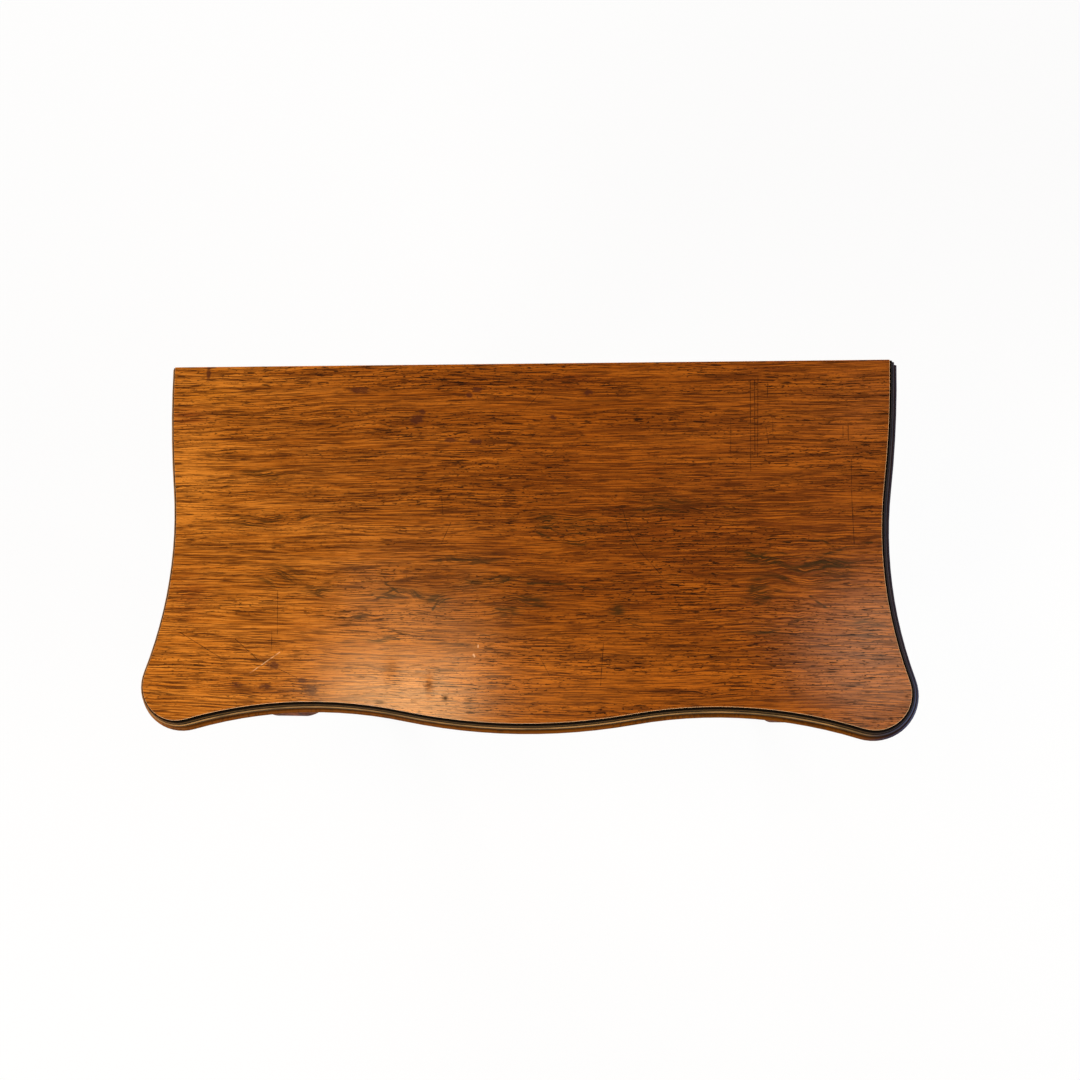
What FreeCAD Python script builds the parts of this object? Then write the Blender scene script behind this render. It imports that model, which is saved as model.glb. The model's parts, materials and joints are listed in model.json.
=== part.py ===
import FreeCAD, Part
import math
import os
from collections import namedtuple
from FreeCAD import Vector

# Fold-over swivel games table, in millimetres. The front faces -Y, +X is to the right of someone
# standing before it, +Z is up, and the origin is on the floor under the middle of the closed top.

# Plan of the upper leaf, at the sharp edge of its flat face
ear_half_width = 450.0
leaf_depth = 432.0  # back edge to the foremost point of the ears
ear_radius = 42.0
bow_setback = 2.0  # the bow of the front stops this short of the ears
bow_radius = 720.0
front_hollow_radius = 561.0
back_inset = 18.0  # the back corners stand in from the ears
side_bow_radius = 1258.0
side_hollow_radius = 510.0

# Make-up of a leaf
leaf_thickness = 21.0
veneer_thickness = 1.2
lower_leaf_overhang = 4.5  # the lower leaf stands out beyond the upper one
moulding_width = 14.0  # wood of the moulding behind the sharp edge
bead_projection = 6.8
bead_spring = 3.0  # where the bead springs from its fillets
bead_foot = 2.6  # foot of the bead, from the playing face
bead_head = 10.4  # head of the bead, from the playing face
ovolo_projection = 3.6
ovolo_swell = 0.8  # of the round, off its chord
fillet_height = 4.4  # flat edge above the ovolo
quirk_width = 2.2  # ledge between the flat edge and the ovolo
lip_width = 2.0
lip_height = 1.6
border_width = 58.0  # sharp edge to the baize
baize_corner_radius = 24.0
crossband_thickness = 2.0
baize_recess = 0.4  # the baize lies below the crossband

# Heights and clearances of the top
table_height = 740.0
leaf_gap = 0.6  # between the closed leaves
swivel_gap = 1.0  # between the lower leaf and the frame
back_clearance = 0.4  # hinge axis to the back edge of a leaf

# Strap hinges
hinge_inset = 36.0  # middle of a strap, from the back corner of the leaf
strap_width = 18.0
strap_length = 62.0
strap_thickness = 2.4
knuckle_radius = 3.5
knuckle_play = 0.2
pin_radius = 1.6
pin_head_radius = 2.6
pin_head_height = 1.0
pin_clearance = 0.05
hinge_clearance = 0.4
strap_screw_count = 3
strap_screw_pitch = 18.0
strap_screw_start = 16.0  # first screw, from the back edge

# Screws
screw_head_radius = 3.4
screw_head_depth = 1.8
screw_shank_radius = 1.6
screw_length = 12.0

# Swivel
plate_side = 80.0
plate_thickness = 4.0
plate_screw_margin = 11.0
bolt_radius = 6.0
bolt_clearance = 0.05
bush_wall = 3.0
bush_flange_width = 4.0
bush_flange_thickness = 2.5
washer_radius = 12.0
washer_thickness = 2.5
washer_clearance = 0.3
nut_radius = 10.5  # over the corners
nut_height = 9.0
bolt_tail = 3.0
stop_distance = 70.0  # stop peg, from the pivot
stop_radius = 5.0
stop_height = 6.0  # above the frame
stop_depth = 14.0  # in the bearer
stop_clearance = 0.3
groove_floor_clearance = 2.0
quarter_turn = 90.0

# Frame
leg_setback_side = 160.0  # middle of a leg post, from the side of the top
leg_setback_front = 79.0  # middle of a leg post, from the front of the top
post_side = 50.0
rail_height = 75.0
rail_thickness = 22.0
facing_thickness = 3.0
facing_setback = 3.0  # face of a post to the facing
front_rise = 18.0  # the front rail bows out by this
tenon_thickness = 10.0
tenon_length = 16.0
tenon_shoulder = 10.0
rail_bead_radius = 4.0
bearer_width = 80.0
bearer_thickness = 28.0
bearer_housing = 12.0  # bearer let into the rails
bearer_screw_spread = 44.0
block_size = 30.0  # corner block, from the post along each rail
block_drop = 8.0  # below the top of the frame
floor_height = 14.0  # underside of the well floor, above the foot of the rails
floor_thickness = 8.0
floor_clearance = 0.5
cleat_side = 12.0
cleat_end_gap = 20.0
lining_thickness = 0.8
lining_margin = 2.0
pad_radius = 8.0
pad_thickness = 0.7
pad_spread = 190.0  # bearing pads, each side of the middle

# Cabriole legs: places down the leg, its push outwards along both plan axes, and its half width
shoulder_drop = 20.0
shoulder_push = 7.5
shoulder_half = 29.5
knee_drop = 54.0
knee_push = 16.5
knee_half = 33.5
calf_drop = 190.0
calf_push = 4.0
calf_half = 23.5
shin_push = -11.0
shin_half = 16.5
ankle_height = 105.0
ankle_push = -18.0
ankle_half = 12.5
instep_height = 48.0
instep_push = -9.0
instep_half = 14.5
toe_push = -4.0
toe_half = 14.0
toe_height = 19.0
corner_share = 0.5  # rounding of a leg's corners against its half width
post_corner_radius = 3.0
scroll_push = -1.0
scroll_radius = 16.5
scroll_width = 32.0
scroll_eye_radius = 6.5
scroll_eye_height = 1.5  # proud of the scroll
scroll_height = 18.5  # middle of the scroll above the floor
foot_pad_radius = 14.0
foot_pad_height = 6.0
bracket_length = 60.0
bracket_depth = 46.0
bracket_tip = 5.0
bracket_thickness = 20.0
bracket_inset = 4.0

# Places worked out from the sizes above
up = Vector(0, 0, 1)
edge_reach = lower_leaf_overhang + bead_projection
whole_depth = edge_reach + leaf_depth + back_clearance + knuckle_radius
hinge_y = whole_depth / 2 - knuckle_radius
back_y = hinge_y - back_clearance
front_y = back_y - leaf_depth
upper_face_z = table_height - leaf_thickness
lower_face_z = upper_face_z - leaf_gap
joint_z = (upper_face_z + lower_face_z) / 2
lower_under_z = lower_face_z - leaf_thickness
frame_top_z = lower_under_z - swivel_gap
rail_foot_z = frame_top_z - rail_height
pivot_x = hinge_y / 2
pivot_y = hinge_y / 2
leg_x = ear_half_width + edge_reach - leg_setback_side
leg_y = whole_depth / 2 - leg_setback_front
half_post = post_side / 2
post_inner_x = leg_x - half_post
post_inner_y = leg_y - half_post
facing_x = leg_x + half_post - facing_setback
facing_y = leg_y + half_post - facing_setback
rail_outer_x = facing_x - facing_thickness
rail_outer_y = facing_y - facing_thickness
rail_inner_x = rail_outer_x - rail_thickness
rail_inner_y = rail_outer_y - rail_thickness
floor_z = rail_foot_z + floor_height
lining_z = floor_z + floor_thickness

# An arc's side is 1 where the edge bulges and -1 where it is hollow
Arc = namedtuple("Arc", "centre radius side start end")
parts = {}


def box(x0, x1, y0, y1, z0, z1):
    return Part.makeBox(x1 - x0, y1 - y0, z1 - z0, Vector(x0, y0, z0))


def prism(face, z0, z1):
    solid = face.extrude(Vector(0, 0, z1 - z0))
    solid.translate(Vector(0, 0, z0))
    return solid


def screw(point, inward):
    head = Part.makeCone(screw_head_radius, screw_shank_radius, screw_head_depth, point, inward)
    return head.fuse(Part.makeCylinder(screw_shank_radius, screw_length, point, inward)).removeSplitter()


def mirrored(shape, across_x, across_y):
    if across_x:
        shape = shape.mirror(Vector(), Vector(1, 0, 0))
    if across_y:
        shape = shape.mirror(Vector(), Vector(0, 1, 0))
    return shape


# Outlines made of tangent arcs

def meeting(centre_a, radius_a, centre_b, radius_b, towards):
    # Where two circles meet, on the side that "towards" points to
    between = centre_b - centre_a
    reach = (between.Length ** 2 + radius_a ** 2 - radius_b ** 2) / (2 * between.Length)
    along = Vector(between).normalize()
    across = Vector(-along.y, along.x, 0)
    if across.dot(towards) < 0:
        across = across.negative()
    return centre_a + along * reach + across * math.sqrt(radius_a ** 2 - reach ** 2)


def bearing(origin, target):
    return math.atan2(target.y - origin.y, target.x - origin.x)


def arc_between(centre, radius, side, start, end):
    # Bulging arcs turn anticlockwise and hollow ones clockwise, seen from above
    while (end - start) * side < 0:
        end += side * 2 * math.pi
    return Arc(centre, radius, side, start, end)


def arc_point(arc, angle):
    return arc.centre + Vector(math.cos(angle), math.sin(angle), 0) * arc.radius


def flipped(arc):
    centre = Vector(-arc.centre.x, arc.centre.y, 0)
    return Arc(centre, arc.radius, arc.side, math.pi - arc.end, math.pi - arc.start)


ear_centre = Vector(ear_half_width - ear_radius, front_y + ear_radius, 0)
bow_centre = Vector(0, front_y + bow_setback + bow_radius, 0)
front_hollow_centre = meeting(bow_centre, bow_radius + front_hollow_radius,
                              ear_centre, ear_radius + front_hollow_radius, Vector(0, -1, 0))
side_bow_centre = Vector(ear_half_width - back_inset - side_bow_radius, back_y, 0)
side_hollow_centre = meeting(side_bow_centre, side_bow_radius + side_hollow_radius,
                             ear_centre, ear_radius + side_hollow_radius, Vector(1, 0, 0))


def leaf_arcs(offset, corner_radius):
    # Edge of a leaf from its left back corner, round the front, to its right back corner
    front_hollow = front_hollow_radius - offset
    side_hollow = side_hollow_radius - offset
    ear = meeting(front_hollow_centre, front_hollow + corner_radius,
                  side_hollow_centre, side_hollow + corner_radius, Vector(-1, 1, 0))
    turn = bearing(bow_centre, front_hollow_centre) + math.pi / 2
    bow = Arc(bow_centre, bow_radius + offset, 1, -math.pi / 2 - turn, -math.pi / 2 + turn)
    right = [
        arc_between(front_hollow_centre, front_hollow, -1,
                    bearing(front_hollow_centre, bow_centre), bearing(front_hollow_centre, ear)),
        arc_between(ear, corner_radius, 1,
                    bearing(ear, front_hollow_centre), bearing(ear, side_hollow_centre)),
        arc_between(side_hollow_centre, side_hollow, -1,
                    bearing(side_hollow_centre, ear), bearing(side_hollow_centre, side_bow_centre)),
        arc_between(side_bow_centre, side_bow_radius + offset, 1,
                    bearing(side_bow_centre, side_hollow_centre), 0.0),
    ]
    return [flipped(arc) for arc in reversed(right)] + [bow] + right


def front_rail_arcs(offset):
    # Face of the front rail between the posts: a bow between two hollows, level where it meets them
    radius = (post_inner_x ** 2 + front_rise ** 2) / (4 * front_rise)
    turn = math.asin(post_inner_x / (2 * radius))
    bow = Arc(Vector(0, radius - front_rise - facing_y, 0), radius + offset, 1,
              -math.pi / 2 - turn, -math.pi / 2 + turn)
    hollow = Arc(Vector(post_inner_x, -facing_y - radius, 0), radius - offset, -1,
                 math.pi / 2 + turn, math.pi / 2)
    return [flipped(hollow), bow, hollow]


def plan_face(arcs, corners=()):
    # Arcs, then straight lines through the corners back to the first arc
    edges = []
    for arc in arcs:
        middle = (arc.start + arc.end) / 2
        edges.append(Part.Arc(arc_point(arc, arc.start), arc_point(arc, middle),
                              arc_point(arc, arc.end)).toShape())
    stops = [arc_point(arcs[-1], arcs[-1].end), *corners, arc_point(arcs[0], arcs[0].start)]
    for start, end in zip(stops, stops[1:]):
        edges.append(Part.LineSegment(start, end).toShape())
    return Part.Face(Part.Wire(edges))


def moulded(arcs, profile):
    # A profile drawn in XZ, X pointing outwards from the edge, taken along the arcs
    runs = []
    for arc in arcs:
        section = profile.copy()
        if arc.side < 0:
            section = section.mirror(Vector(), Vector(1, 0, 0))
        section.translate(Vector(arc.radius, 0, 0))
        section.rotate(Vector(), up, math.degrees(min(arc.start, arc.end)))
        section.translate(arc.centre)
        runs.append(section.revolve(arc.centre, up, math.degrees(abs(arc.end - arc.start))))
    return runs[0].multiFuse(runs[1:]).removeSplitter()


# Leaves

def edge_profile(face_z, outward, height):
    # Lip at the playing face, bead, ovolo, quirk and flat edge. "outward" is 1 if the outer face is up
    def at(projection, rise):
        return Vector(projection, 0, face_z + outward * rise)

    quirk_rise = leaf_thickness - fillet_height
    foot = at(bead_spring, bead_foot)
    crest = at(bead_projection, (bead_foot + bead_head) / 2)
    head = at(bead_spring, bead_head)
    round_foot = at(ovolo_projection, bead_head)
    round_head = at(quirk_width, quirk_rise)
    chord = round_head - round_foot
    swell = Vector(abs(chord.z), 0, outward * abs(chord.x)).normalize() * ovolo_swell
    runs = [
        Part.makePolygon([at(-moulding_width, 0), at(lip_width, 0), at(lip_width, lip_height),
                          at(quirk_width, bead_foot), foot]),
        Part.Arc(foot, crest, head).toShape(),
        Part.makePolygon([head, round_foot]),
        Part.Arc(round_foot, round_foot + chord * 0.5 + swell, round_head).toShape(),
        Part.makePolygon([round_head, at(0, quirk_rise), at(0, height), at(-moulding_width, height),
                          at(-moulding_width, 0)]),
    ]
    return Part.Face(Part.Wire([edge for run in runs for edge in run.Edges]))


baize_edge = leaf_arcs(-border_width, baize_corner_radius)
hinge_x = ear_half_width - back_inset - hinge_inset


def leaf(name, face_z, outward, core_height, overhang):
    def level(rise):
        return face_z + outward * rise

    def board(arcs, low, high):
        return prism(plan_face(arcs), min(level(low), level(high)), max(level(low), level(high)))

    sharp_edge = leaf_arcs(overhang, ear_radius + overhang)
    inner_edge = leaf_arcs(overhang - moulding_width, ear_radius + overhang - moulding_width)
    field = board(baize_edge, 0, crossband_thickness)
    parts[name + "_leaf_core"] = board(inner_edge, crossband_thickness, core_height)
    parts[name + "_leaf_moulding"] = moulded(sharp_edge, edge_profile(face_z, outward, core_height))
    parts[name + "_leaf_crossband"] = board(inner_edge, 0, crossband_thickness).cut(field)
    parts[name + "_leaf_baize"] = board(baize_edge, baize_recess, crossband_thickness)


leaf("upper", upper_face_z, 1, leaf_thickness - veneer_thickness, 0.0)
leaf("lower", lower_face_z, -1, leaf_thickness, lower_leaf_overhang)
veneer_face = plan_face(leaf_arcs(0.0, ear_radius))
parts["upper_leaf_veneer"] = prism(veneer_face, table_height - veneer_thickness, table_height)


# Hinges between the leaves

knuckle_length = (strap_width - 2 * knuckle_play) / 3
screw_groups = {"lower": [], "upper": []}


def hinge_cylinder(radius, x0, x1):
    return Part.makeCylinder(radius, x1 - x0, Vector(x0, hinge_y, joint_z), Vector(1, 0, 0))


def strap_screws(x, face_z, inward):
    first_y = back_y - strap_screw_start
    places = [Vector(x, first_y - strap_screw_pitch * row, face_z) for row in range(strap_screw_count)]
    return [screw(place, inward) for place in places]


def hinge(side, middle_x):
    left = middle_x - strap_width / 2
    spans = [left + count * (knuckle_length + knuckle_play) for count in range(3)]
    plan = (left, left + strap_width, back_y - strap_length, hinge_y)
    lower_strap = box(*plan, lower_face_z - strap_thickness, lower_face_z)
    upper_strap = box(*plan, upper_face_z, upper_face_z + strap_thickness)
    leaves = {
        "lower": ((0, 2), lower_strap, lower_face_z, up.negative()),
        "upper": ((1,), upper_strap, upper_face_z, up),
    }
    bore = hinge_cylinder(pin_radius + pin_clearance, left, left + strap_width)
    head_reach = strap_width / 2 + pin_head_height + hinge_clearance
    notch = hinge_cylinder(knuckle_radius + hinge_clearance, middle_x - head_reach, middle_x + head_reach)
    for name, (own, strap, face_z, inward) in leaves.items():
        screws = strap_screws(middle_x, face_z, inward)
        for piece in ("_leaf_core", "_leaf_crossband"):
            parts[name + piece] = parts[name + piece].cut([strap, notch, *screws])
        for count, start in enumerate(spans):
            if count in own:
                strap = strap.fuse(hinge_cylinder(knuckle_radius, start, start + knuckle_length))
            else:
                room = (start - knuckle_play, start + knuckle_length + knuckle_play)
                strap = strap.cut(hinge_cylinder(knuckle_radius + hinge_clearance, *room))
        parts[side + "_hinge_" + name + "_strap"] = strap.cut([bore, *screws]).removeSplitter()
        screw_groups[name] += screws
    pin = hinge_cylinder(pin_radius, left, left + strap_width)
    for start in (left - pin_head_height, left + strap_width):
        pin = pin.fuse(hinge_cylinder(pin_head_radius, start, start + pin_head_height))
    parts[side + "_hinge_pin"] = pin.removeSplitter()


hinge("left", -hinge_x)
hinge("right", hinge_x)
for name, screws in screw_groups.items():
    parts["hinge_" + name + "_screws"] = Part.makeCompound(screws)


# Swivel: a plate and bolt on the lower leaf, turning in a bush in the bearer

bearer_foot_z = frame_top_z - bearer_thickness
washer_z = bearer_foot_z - washer_clearance - washer_thickness
nut_z = washer_z - nut_height
bush_radius = bolt_radius + bolt_clearance + bush_wall


def pivot_cylinder(radius, z0, z1):
    return Part.makeCylinder(radius, z1 - z0, Vector(pivot_x, pivot_y, z0))


plate_half = plate_side / 2
screw_reach = plate_half - plate_screw_margin
plate_screws = []
for x in (pivot_x - screw_reach, pivot_x + screw_reach):
    for y in (pivot_y - screw_reach, pivot_y + screw_reach):
        plate_screws.append(screw(Vector(x, y, lower_under_z), up))
plate = box(pivot_x - plate_half, pivot_x + plate_half, pivot_y - plate_half, pivot_y + plate_half,
            lower_under_z, lower_under_z + plate_thickness)
bolt = pivot_cylinder(bolt_radius, nut_z - bolt_tail, lower_under_z + plate_thickness)

# The stop peg stands on the bearer in a quarter-round groove under the lower leaf
stop_start = Vector(pivot_x, pivot_y - stop_distance, 0)
stop_end = Vector(pivot_x - stop_distance, pivot_y, 0)
groove_radius = stop_radius + stop_clearance
groove_top_z = frame_top_z + stop_height + groove_floor_clearance
groove_section = Part.Face(Part.makePolygon([
    Vector(pivot_x - stop_distance + across, pivot_y, z)
    for across, z in ((-groove_radius, lower_under_z), (groove_radius, lower_under_z),
                      (groove_radius, groove_top_z), (-groove_radius, groove_top_z),
                      (-groove_radius, lower_under_z))]))
groove = groove_section.revolve(Vector(pivot_x, pivot_y, 0), up, quarter_turn)
for end in (stop_start, stop_end):
    end_cut = Part.makeCylinder(groove_radius, groove_top_z - lower_under_z, end + up * lower_under_z)
    groove = groove.fuse(end_cut)
stop_foot = stop_start + up * (frame_top_z - stop_depth)
stop_peg = Part.makeCylinder(stop_radius, stop_height + stop_depth, stop_foot)

bush_flange_z = frame_top_z - bush_flange_thickness
bush_flange = pivot_cylinder(bush_radius + bush_flange_width, bush_flange_z, frame_top_z)
bush = pivot_cylinder(bush_radius, bearer_foot_z, frame_top_z).fuse(bush_flange)
nut_face = Part.Face(Part.makePolygon([
    Vector(pivot_x + nut_radius * math.cos(math.pi / 3 * corner),
           pivot_y + nut_radius * math.sin(math.pi / 3 * corner), 0) for corner in range(7)]))

parts["lower_leaf_core"] = parts["lower_leaf_core"].cut([plate, groove, *plate_screws])
parts["pivot_plate"] = plate.cut([bolt, *plate_screws])
parts["plate_screws"] = Part.makeCompound(plate_screws)
parts["pivot_bolt"] = bolt
parts["pivot_bush"] = bush.cut(pivot_cylinder(bolt_radius + bolt_clearance, bearer_foot_z, frame_top_z))
parts["pivot_washer"] = pivot_cylinder(washer_radius, washer_z, washer_z + washer_thickness).cut(
    pivot_cylinder(bolt_radius + washer_clearance, washer_z, washer_z + washer_thickness))
parts["pivot_nut"] = prism(nut_face, nut_z, washer_z).cut(bolt)
parts["stop_peg"] = stop_peg


# Frame: rails tenoned into the posts, with facings and beads

tenon_low = rail_foot_z + tenon_shoulder
tenon_high = frame_top_z - tenon_shoulder
tenon_x = rail_outer_x - rail_thickness / 2
tenon_y = rail_outer_y - rail_thickness / 2
half_tenon = tenon_thickness / 2
back_tenon = box(post_inner_x, post_inner_x + tenon_length, tenon_y - half_tenon, tenon_y + half_tenon,
                 tenon_low, tenon_high)
side_tenon = box(tenon_x - half_tenon, tenon_x + half_tenon, post_inner_y, post_inner_y + tenon_length,
                 tenon_low, tenon_high)

bearer = box(pivot_x - bearer_width / 2, pivot_x + bearer_width / 2,
             -rail_inner_y - bearer_housing, rail_inner_y + bearer_housing, bearer_foot_z, frame_top_z)
bearer_screw_y = rail_inner_y + bearer_housing / 2
bearer_screws = []
for x in (pivot_x - bearer_screw_spread / 2, pivot_x + bearer_screw_spread / 2):
    for y in (-bearer_screw_y, bearer_screw_y):
        bearer_screws.append(screw(Vector(x, y, frame_top_z), up.negative()))

front_corners = (Vector(post_inner_x, -rail_inner_y, 0), Vector(-post_inner_x, -rail_inner_y, 0))
front_block = prism(plan_face(front_rail_arcs(0.0), front_corners), rail_foot_z, frame_top_z)
front_rail = prism(plan_face(front_rail_arcs(-facing_thickness), front_corners), rail_foot_z, frame_top_z)
back_rail = box(-post_inner_x, post_inner_x, rail_inner_y, rail_outer_y, rail_foot_z, frame_top_z)
side_rail = box(rail_inner_x, rail_outer_x, -post_inner_y, post_inner_y, rail_foot_z, frame_top_z)
back_tenons = [mirrored(back_tenon, flip, False) for flip in (False, True)]
front_tenons = [mirrored(back_tenon, flip, True) for flip in (False, True)]
side_tenons = [mirrored(side_tenon, False, flip) for flip in (False, True)]
right_rail = side_rail.multiFuse(side_tenons).removeSplitter()

parts["front_facing"] = front_block.cut(front_rail)
parts["front_rail"] = front_rail.multiFuse(front_tenons).removeSplitter().cut(bearer)
parts["back_rail"] = back_rail.multiFuse(back_tenons).removeSplitter().cut(bearer)
parts["right_rail"] = right_rail
parts["left_rail"] = mirrored(right_rail, True, False)
parts["back_facing"] = box(-post_inner_x, post_inner_x, rail_outer_y, facing_y, rail_foot_z, frame_top_z)
side_facing = box(rail_outer_x, facing_x, -post_inner_y, post_inner_y, rail_foot_z, frame_top_z)
parts["right_facing"] = side_facing
parts["left_facing"] = mirrored(side_facing, True, False)

bead_z = rail_foot_z + rail_bead_radius
bead_ends = (Vector(0, 0, bead_z - rail_bead_radius), Vector(0, 0, bead_z + rail_bead_radius))
bead_arc = Part.Arc(bead_ends[0], Vector(rail_bead_radius, 0, bead_z), bead_ends[1])
bead_back = Part.LineSegment(bead_ends[1], bead_ends[0])
bead_profile = Part.Face(Part.Wire([bead_arc.toShape(), bead_back.toShape()]))


def straight_bead(half_length, face):
    # Along Y on the face that stands at "face" along +X
    section = bead_profile.copy()
    section.translate(Vector(face, -half_length, 0))
    return section.extrude(Vector(0, 2 * half_length, 0))


back_bead = straight_bead(post_inner_x, facing_y)
back_bead.rotate(Vector(), up, quarter_turn)
parts["front_bead"] = moulded(front_rail_arcs(0.0), bead_profile)
parts["back_bead"] = back_bead
parts["right_bead"] = straight_bead(post_inner_y, facing_x)
parts["left_bead"] = mirrored(parts["right_bead"], True, False)

parts["pivot_bearer"] = bearer.cut([bush, stop_peg, *bearer_screws])
parts["bearer_screws"] = Part.makeCompound(bearer_screws)
for name in ("front_rail", "back_rail"):
    parts[name] = parts[name].cut(bearer_screws)

# Card well between the rails

def well_board(margin, z0, z1):
    # A board that fills the frame, notched round the posts
    long_x, long_y = rail_inner_x - margin, rail_inner_y - margin
    short_x, short_y = post_inner_x - margin, post_inner_y - margin
    wide = box(-long_x, long_x, -short_y, short_y, z0, z1)
    deep = box(-short_x, short_x, -long_y, long_y, z0, z1)
    return wide.fuse(deep).removeSplitter()


parts["well_floor"] = well_board(floor_clearance, floor_z, lining_z)
parts["well_lining"] = well_board(lining_margin, lining_z, lining_z + lining_thickness)
cleat_half = post_inner_x - cleat_end_gap
cleat = box(-cleat_half, cleat_half, rail_inner_y - cleat_side, rail_inner_y, floor_z - cleat_side, floor_z)
parts["floor_cleats"] = Part.makeCompound([cleat, mirrored(cleat, False, True)])

block_low = lining_z + lining_thickness + floor_clearance
block_plan = Part.Face(Part.makePolygon([
    Vector(x, y, 0) for x, y in (
        (rail_inner_x, post_inner_y), (post_inner_x, post_inner_y), (post_inner_x, rail_inner_y),
        (post_inner_x - block_size, rail_inner_y), (rail_inner_x, post_inner_y - block_size),
        (rail_inner_x, post_inner_y))]))
block = prism(block_plan, block_low, frame_top_z - block_drop)
quarters = [(False, False), (True, False), (False, True), (True, True)]
parts["corner_blocks"] = Part.makeCompound([mirrored(block, *flips) for flips in quarters])

pad = Part.makeCylinder(pad_radius, pad_thickness, Vector(pad_spread, tenon_y, frame_top_z))
parts["bearing_pads"] = Part.makeCompound([mirrored(pad, *flips) for flips in quarters])


# Cabriole legs

def leg_section(z, push, half, corner):
    # A square with round corners
    x0, x1 = leg_x + push - half, leg_x + push + half
    y0, y1 = leg_y + push - half, leg_y + push + half
    nook = corner * (1 - math.sqrt(0.5))
    sides = [
        (Vector(x0 + corner, y0, z), Vector(x1 - corner, y0, z), Vector(x1 - nook, y0 + nook, z)),
        (Vector(x1, y0 + corner, z), Vector(x1, y1 - corner, z), Vector(x1 - nook, y1 - nook, z)),
        (Vector(x1 - corner, y1, z), Vector(x0 + corner, y1, z), Vector(x0 + nook, y1 - nook, z)),
        (Vector(x0, y1 - corner, z), Vector(x0, y0 + corner, z), Vector(x0 + nook, y0 + nook, z)),
    ]
    edges = []
    for count, (start, end, bend) in enumerate(sides):
        edges.append(Part.LineSegment(start, end).toShape())
        edges.append(Part.Arc(end, bend, sides[(count + 1) % 4][0]).toShape())
    return Part.Wire(edges)


calf_z = rail_foot_z - calf_drop
stations = [
    (rail_foot_z - shoulder_drop, shoulder_push, shoulder_half),
    (rail_foot_z - knee_drop, knee_push, knee_half),
    (calf_z, calf_push, calf_half),
    ((calf_z + ankle_height) / 2, shin_push, shin_half),
    (ankle_height, ankle_push, ankle_half),
    (instep_height, instep_push, instep_half),
    (toe_height, toe_push, toe_half),
]
sections = [leg_section(rail_foot_z, 0.0, half_post, post_corner_radius)]
sections += [leg_section(z, push, half, half * corner_share) for z, push, half in stations]
limb = Part.makeLoft(sections, True, False)
post = prism(Part.Face(leg_section(0.0, 0.0, half_post, post_corner_radius)), rail_foot_z, frame_top_z)

# The scroll lies across the leg's diagonal, on a small round pad
scroll_axis = Vector(1, -1, 0).normalize()
scroll_middle = Vector(leg_x + scroll_push, leg_y + scroll_push, scroll_height)
scroll_eye_width = scroll_width + 2 * scroll_eye_height


def scroll_roll(radius, width):
    return Part.makeCylinder(radius, width, scroll_middle - scroll_axis * (width / 2), scroll_axis)


foot_middle = Vector(scroll_middle.x, scroll_middle.y, 0)
foot_pad = Part.makeCylinder(foot_pad_radius, foot_pad_height, foot_middle)
scroll = scroll_roll(scroll_radius, scroll_width).fuse(scroll_roll(scroll_eye_radius, scroll_eye_width))
leg = post.multiFuse([limb, scroll, foot_pad]).removeSplitter()
leg = leg.cut([back_tenon, side_tenon])


def knee_bracket():
    # Under the back rail, tapering away from the post in a hollow curve
    tip_x = post_inner_x - bracket_length
    face_y = leg_y + half_post - bracket_inset
    foot = Vector(post_inner_x, face_y, rail_foot_z - bracket_depth)
    tip = Vector(tip_x, face_y, rail_foot_z - bracket_tip)
    sag = Vector(post_inner_x - bracket_length / 3, face_y, rail_foot_z - bracket_tip - bracket_depth / 5)
    corners = [
        tip,
        Vector(tip_x, face_y, rail_foot_z),
        Vector(leg_x, face_y, rail_foot_z),
        Vector(leg_x, face_y, rail_foot_z - bracket_depth),
        foot,
    ]
    outline = [Part.Arc(foot, sag, tip).toShape(), *Part.makePolygon(corners).Edges]
    return Part.Face(Part.Wire(outline)).extrude(Vector(0, -bracket_thickness, 0))


under_back = knee_bracket()
under_side = under_back.copy()
under_side.translate(Vector(-leg_x, -leg_y, 0))
under_side = under_side.mirror(Vector(), Vector(1, -1, 0))
under_side.translate(Vector(leg_x, leg_y, 0))
brackets = Part.makeCompound([under_back.cut(leg), under_side.cut(leg)])

leg_names = ["back_right", "back_left", "front_right", "front_left"]
for name, flips in zip(leg_names, quarters):
    parts[name + "_leg"] = mirrored(leg, *flips)
    parts[name + "_brackets"] = mirrored(brackets, *flips)


os.makedirs("parts", exist_ok=True)
for name, shape in parts.items():
    shape.exportStep("parts/" + name + ".step")
    print(name, len(shape.Solids), round(shape.Volume), shape.isValid())
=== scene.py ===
import json
import math

import bmesh
import bpy
from mathutils import Matrix, Vector, noise


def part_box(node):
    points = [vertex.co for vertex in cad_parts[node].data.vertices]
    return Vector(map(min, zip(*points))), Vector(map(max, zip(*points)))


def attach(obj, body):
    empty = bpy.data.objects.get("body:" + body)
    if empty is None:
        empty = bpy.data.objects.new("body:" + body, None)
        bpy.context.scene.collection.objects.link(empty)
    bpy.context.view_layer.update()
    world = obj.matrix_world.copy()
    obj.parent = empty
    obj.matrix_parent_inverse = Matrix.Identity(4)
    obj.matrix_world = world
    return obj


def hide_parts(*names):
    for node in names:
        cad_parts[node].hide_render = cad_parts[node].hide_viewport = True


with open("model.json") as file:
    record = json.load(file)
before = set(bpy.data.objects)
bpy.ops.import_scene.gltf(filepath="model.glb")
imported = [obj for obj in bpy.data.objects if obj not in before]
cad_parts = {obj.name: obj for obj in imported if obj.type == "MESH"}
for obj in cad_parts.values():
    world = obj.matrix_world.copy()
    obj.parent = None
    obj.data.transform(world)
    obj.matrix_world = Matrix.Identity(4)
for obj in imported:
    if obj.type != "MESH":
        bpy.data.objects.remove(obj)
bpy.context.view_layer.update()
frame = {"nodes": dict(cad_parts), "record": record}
nodes = frame["nodes"]
record = frame["record"]
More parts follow.
